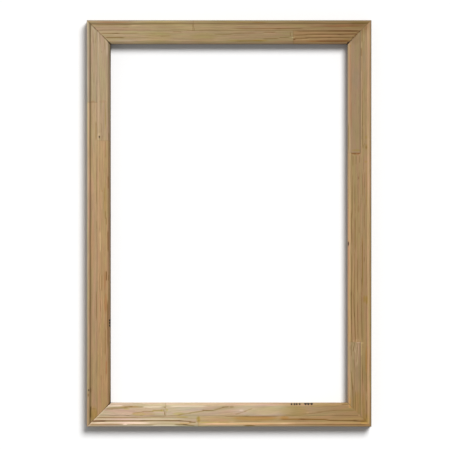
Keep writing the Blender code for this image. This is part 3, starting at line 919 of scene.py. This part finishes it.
BLOCKS["right_rail_bead_strip_whole"] = dict(
    tone=((0.362, 0.244, 0.125), (0.375, 0.236, 0.097)), ring=2.4, line=11.8, bold=(0.25, 0.35), marks={
    DARK: [(216, 6.3, 242, 6.2, 0.8, 0.7)],
    BROWN: [(-242, 11.6, -222, 11.5, 1.2, 1), (-217, 12, -205, 12, 1.1, 1), (-206, 12, -186, 11.8, 0.8, 0.5),
        (-166, 11, -140, 11, 0.8, 0.7), (-142, 11.2, -118, 11, 0.9, 0.8), (-118, 10.9, -92, 10.9, 0.9, 0.8),
        (-99, 8.6, -92, 10.6, 0.7, 0.8), (-56, 6.2, -20, 6.1, 0.6, 0.4), (-64, 8.7, -42, 8.6, 0.8, 0.8),
        (-64, 11, -32, 10.8, 0.8, 0.7), (-26, 8.4, 8, 8.4, 0.7, 0.6), (17, 11.1, 78, 11.3, 0.9, 0.9),
        (66, 12.1, 90, 12.1, 0.9, 1), (38, 6.2, 80, 6.2, 0.8, 0.6), (94, 6.4, 138, 6.2, 0.7, 0.6),
        (84, 12.1, 146, 11.8, 1, 1.2), (182, 6.3, 210, 6.3, 0.9, 0.9), (226, 9.4, 246, 9.6, 0.9, 0.3),
        (-247, 9, 17, 8, 0.7), (-93.5, 6.2, 2.2, 1.2, 0.8), (44, 8.6, 4, 0.9, 0.6),
        (186, 10.8, 16, 0.9, 0.8)],
    REDDISH: [(-260, 3.4, -110, 3.5, 1.7, 0.25), (-246, 7, 10, 4, 0.5)],
    ORANGE: [(168, 6.2, 22, 1.6, 1.2)],
    OLIVE: [(-73, 6.2, -18, 6.1, 0.8, 1), (12, 11.1, 84, 11.2, 1.1, 1.3), (-106, 6.4, 3, 1.8, 1),
        (-76, 6.8, 1.8, 2.4, 1.4), (241, 7, 9, 5, 1), (225, 10, 20, 3, 0.7)],
    # The pale bands 3.5 to 3.8 mm in along the whole rail, on the step that faces the lamp, are partly paler
    # wood and partly painted highlight.
    PALE: [(-260, 3.6, -60, 3.8, 1.8, 0.45), (-120, 3.8, 262, 3.6, 2, 1), (190, 3.6, 266, 3.5, 1.9, 0.8),
        (-242, 9.6, -222, 9.5, 0.8, 0.7)],
    WHITE: [(146, 12.4, 164, 12.3, 0.8, 0.5), (147, 11.6, 1.3, 2.4, 0.6)],
    RESIN: [(-94, 6.2, 5, 2.2, 0.5), (94, 6, 7, 2.2, 0.8), (93, 9, 6, 1.8, 0.7), (243, 8, 4, 3, 0.5)],
    GREY: [(-200, 8.8, 17, 2.4, 0.9)],
})
BLOCKS["right_rail_inner_strip_upper"] = dict(
    tone=((0.325, 0.22, 0.118), (0.34, 0.229, 0.12)), ring=5.0, line=15.0, bold=(0.08, 0.08), streaky=0.35,
    seams=(0.5, 0.2), marks={
    BROWN: [(-124, 28.2, -88, 28.2, 0.8, 1.1), (-216, 12.9, -204, 12.9, 0.8, 0.7), (-227, 20, 9, 7, 0.35)],
    REDDISH: [(-152, 24.6, -116, 24.4, 0.9, 0.5), (-170, 26.2, 80, 1.8, 0.8)],
    OLIVE: [(-90, 18.5, 1.6, 7, 1.2), (-218.5, 26, 2, 1.4, 1.2)],
    PALE: [(-123, 26.4, -90, 26.2, 0.9, 0.3), (-170, 26.6, 80, 1.6, 0.35)],
    GREY: [(-178, 19, 16, 6, 0.7)],
})
BLOCKS["right_rail_inner_strip_middle"] = dict(
    tone=((0.368, 0.245, 0.115), (0.422, 0.268, 0.118)), ring=3.8, line=20.8, bold=(0.40, 0.60), wander=0.45,
    jitter=0.25, late=(0.56, 0.42, 0.26), broken=0.6, seams=(0.3, 0.3), marks={
    BLACK: [(25, 28.3, 3.6, 1.3, 1)],
    DARK: [(66, 24.6, 90, 24.6, 1.1, 0.5), (82, 24.8, 120, 24.6, 1.2, 0.65),
        (112, 24.4, 152, 24.2, 1.1, 0.5), (84, 21.6, 116, 20.8, 1, 0.7)],
    BROWN: [(-84, 14.6, -74, 14.6, 0.8, 0.8), (-84, 18.6, -72, 18.8, 0.8, 0.8),
        (-84, 22.4, -70, 22.6, 0.9, 0.8), (-66, 14.2, -38, 14.2, 0.7, 0.5), (-60, 22.8, -48, 22.8, 0.8, 0.6),
        (-50, 16.2, -22, 16, 0.8, 0.6), (-50, 19.6, -8, 19.6, 0.8, 0.7), (-50, 23.4, -6, 23.6, 1, 0.9),
        (-16, 24.6, 28, 23.8, 1, 0.9), (-10, 19.8, 36, 20, 1.1, 1), (4, 14.8, 12, 14.6, 0.8, 0.6),
        (34, 20.8, 62, 20.6, 0.9, 0.7), (40, 17.2, 86, 17.2, 1, 0.8), (36, 24.2, 72, 24.2, 0.9, 0.7),
        (56, 21, 88, 21.2, 1, 1), (108, 20.8, 147, 19.6, 1, 1.2), (94, 17.2, 145, 16.8, 1, 0.7),
        (-86.4, 15.5, 1.2, 2.6, 1), (-86.4, 21.5, 1.4, 4.2, 1.2), (-56, 15.5, 2.4, 1, 0.8),
        (-18, 15.5, 6, 1.6, 0.6)],
    REDDISH: [(-86, 19, 2, 7, 1)],
    # The long pale spot 27.2 mm in, on the chamfer that faces the lamp, is painted highlight.
    PALE: [(-84, 16.8, -74, 16.9, 0.7, 0.5), (-64, 21.2, -48, 21.2, 0.7, 0.4),
        (56, 22.7, 84, 22.7, 0.8, 0.5), (88, 23, 140, 22.4, 0.9, 0.4), (30, 27.2, 110, 1.6, 0.6)],
    WHITE: [(142, 12.6, 149, 12.4, 0.8, 0.6), (142, 15.6, 148, 14.8, 0.8, 0.6),
        (142, 18, 148, 18.6, 0.8, 0.6), (143, 22.4, 148, 21.6, 0.8, 0.6)],
    # The long pink spot 27.8 mm in is partly the chamfer's pink tint and partly painted highlight.
    PINK: [(30, 27.8, 110, 1.2, 1)],
})
BLOCKS["right_rail_inner_strip_lower"] = dict(
    tone=((0.382, 0.26, 0.138), (0.393, 0.252, 0.115)), ring=2.4, line=20.8, bold=(0.25, 0.45), wander=0.6,
    seams=(0.0, 0.5), marks={
    BROWN: [(150, 17.4, 172, 18.8, 0.7, 0.8), (146, 20.8, 158, 22.8, 0.8, 1),
        (148, 24.6, 164, 24.4, 0.9, 0.8), (166, 21.6, 184, 20.2, 0.7, 0.6), (182, 20.9, 206, 20.6, 0.9, 0.4),
        (180, 25.4, 206, 23, 0.9, 0.9), (198, 23.2, 232, 22, 1, 1), (204, 20, 232, 19.4, 0.9, 0.8),
        (206, 17, 236, 16.6, 0.8, 0.4), (153, 26.2, 3.5, 1, 0.5)],
    ORANGE: [(219, 26, 7, 1.6, 1)],
    OLIVE: [(222, 17, 20, 7, 0.9)],
    PALE: [(168, 12.8, 180, 12.8, 0.8, 0.7), (183, 22.8, 200, 22.2, 0.7, 0.5), (190, 26.6, 38, 1.4, 0.5)],
    WHITE: [(146, 13.2, 164, 13, 0.8, 0.6), (147, 15.9, 176, 17.4, 0.8, 0.6),
        (147, 18.6, 178, 19.2, 0.8, 0.6), (147, 22.6, 160, 19.6, 0.8, 0.6), (150, 23.4, 168, 22.4, 0.8, 0.6),
        (146.6, 15, 0.9, 5, 0.9), (219, 26, 6, 1.4, 0.5), (236, 15.2, 1.6, 1.6, 0.9)],
})


def slot_cutter(nail):
    """A cutter a little larger than a V-nail, and open through the frame's back."""
    shape = bmesh.new()
    shape.from_mesh(nail.data)
    bmesh.ops.remove_doubles(shape, verts=shape.verts, dist=1e-6)
    shape.normal_update()
    middle = sum(vertex.co.z for vertex in shape.verts) / len(shape.verts)
    for vertex in shape.verts:
        vertex.co += vertex.normal * NAIL_CLEARANCE * MM
        if vertex.co.z < middle:
            vertex.co.z = -middle
    mesh = bpy.data.meshes.new("slot")
    shape.to_mesh(mesh)
    shape.free()
    return bpy.data.objects.new("slot", mesh)


def cut_slots(mesh, corners, strip):
    """The block's mesh with a slot in its back for each V-nail that crosses its mitres."""
    # From the far end to the near one: in the other order a sliver of a hole stays beside a slot.
    for corner in reversed(corners):
        block = bpy.data.objects.new("block", mesh)
        cutter = slot_cutter(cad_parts[f"v_nail_{corner}_{NAIL_LABELS[strip]}"])
        for thing in (block, cutter):
            bpy.context.scene.collection.objects.link(thing)
        change = block.modifiers.new("slot", "BOOLEAN")
        change.operation = "DIFFERENCE"
        change.solver = "EXACT"
        change.object = cutter
        mesh = bpy.data.meshes.new_from_object(block.evaluated_get(bpy.context.evaluated_depsgraph_get()))
        for thing in (block, cutter):
            bpy.data.objects.remove(thing)
    return mesh


def make_blocks():
    blocks = []
    for seed, (node, spec) in enumerate(BLOCKS.items()):
        rail, _, strip, _, _ = node.split("_")
        outline = bead_outline() if strip == "bead" else inner_outline()
        nodes = [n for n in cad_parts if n.startswith(f"{rail}_rail_{strip}_strip_")]
        ends = ends_of_block(rail, nodes, node)
        mitred = [seam in MITRES for seam in ends["seams"]]
        mesh = block_mesh(outline, *ends["surfaces"], mitred, outer_edge(rail))
        mesh.transform(turn_matrix(rail))
        mesh = cut_slots(mesh, [seam for seam in ends["seams"] if seam in MITRES], strip)
        mesh.name = node + "_wood"
        mesh.shade_smooth()
        mesh.set_sharp_from_angle(angle=math.radians(SHARP_ANGLE))
        block = bpy.data.objects.new(node + "_wood", mesh)
        bpy.context.scene.collection.objects.link(block)
        mesh.materials.append(pine(node, rail, ends, spec, seed))
        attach(block, "root")
        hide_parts(node)
        blocks.append(block)
    return blocks


def paint_nails():
    for node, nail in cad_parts.items():
        if node.startswith("v_nail_"):
            nail.data.materials[0] = steel(node)


blocks = make_blocks()
paint_nails()

# ---------------------------------------------------------------- stage, light and camera

TABLE_SIZE = 6.0
TABLE_DROP = 0.0002
TABLE_TONE = 0.67
AMBIENT = 0.36
TABLE_SUN = 4.42
SUN_PLACE = (6.8, 11.0, 20.0)
SUN_SPREAD = 25
KEY_POWER = 36.0
KEY_SIZE = 0.7
KEY_PLACE = (-1.15, 0.75, 1.25)
SENSOR_WIDTH = 36.0
CAMERA_HEIGHT = 5.0
CAMERA_PLACE = (-0.0051, -0.0019, RAIL_DEPTH * MM + CAMERA_HEIGHT)
VIEW_WIDTH = 0.5534


def add(name, data):
    made = bpy.data.objects.new(name, data)
    bpy.context.scene.collection.objects.link(made)
    return made


def lamp(name, light, towards, lit):
    """Aims a lamp from the direction given, and lets it light only the objects given."""
    holder = add(name, light)
    holder.rotation_euler = Vector(towards).to_track_quat("Z", "Y").to_euler()
    receivers = bpy.data.collections.new(name + "_lights")
    for thing in lit:
        receivers.objects.link(thing)
    holder.light_linking.receiver_collection = receivers
    return holder


floor_shape = bmesh.new()
bmesh.ops.create_grid(floor_shape, x_segments=1, y_segments=1, size=TABLE_SIZE / 2)
floor_mesh = bpy.data.meshes.new("table")
floor_shape.to_mesh(floor_mesh)
floor_shape.free()
floor = add("table", floor_mesh)
floor.location.z = -TABLE_DROP
white = Graph("white_table")
white.set("Base Color", (TABLE_TONE, TABLE_TONE, TABLE_TONE, 1.0))
white.set("Roughness", 0.9)
white.set("Specular IOR Level", 0.0)
floor_mesh.materials.append(white.material)

world = bpy.data.worlds.new("studio")
bpy.context.scene.world = world
world.use_nodes = True
world.node_tree.nodes["Background"].inputs["Color"].default_value = (1.0, 1.0, 1.0, 1.0)
world.node_tree.nodes["Background"].inputs["Strength"].default_value = AMBIENT

# The table's shadow and the shading on the wood come from different sides, so each has its own lamp.
sun = bpy.data.lights.new("table_sun", "SUN")
sun.energy = TABLE_SUN
sun.angle = math.radians(SUN_SPREAD)
lamp("table_sun", sun, SUN_PLACE, [floor])
softbox = bpy.data.lights.new("key", "AREA")
softbox.energy = KEY_POWER
softbox.size = KEY_SIZE
lamp("key", softbox, KEY_PLACE, blocks).location = KEY_PLACE

camera_data = bpy.data.cameras.new("camera")
camera_data.sensor_width = SENSOR_WIDTH
camera_data.lens = SENSOR_WIDTH * CAMERA_HEIGHT / VIEW_WIDTH
camera = add("camera", camera_data)
camera.location = CAMERA_PLACE
bpy.context.scene.camera = camera
bpy.context.scene.view_settings.view_transform = "Standard"
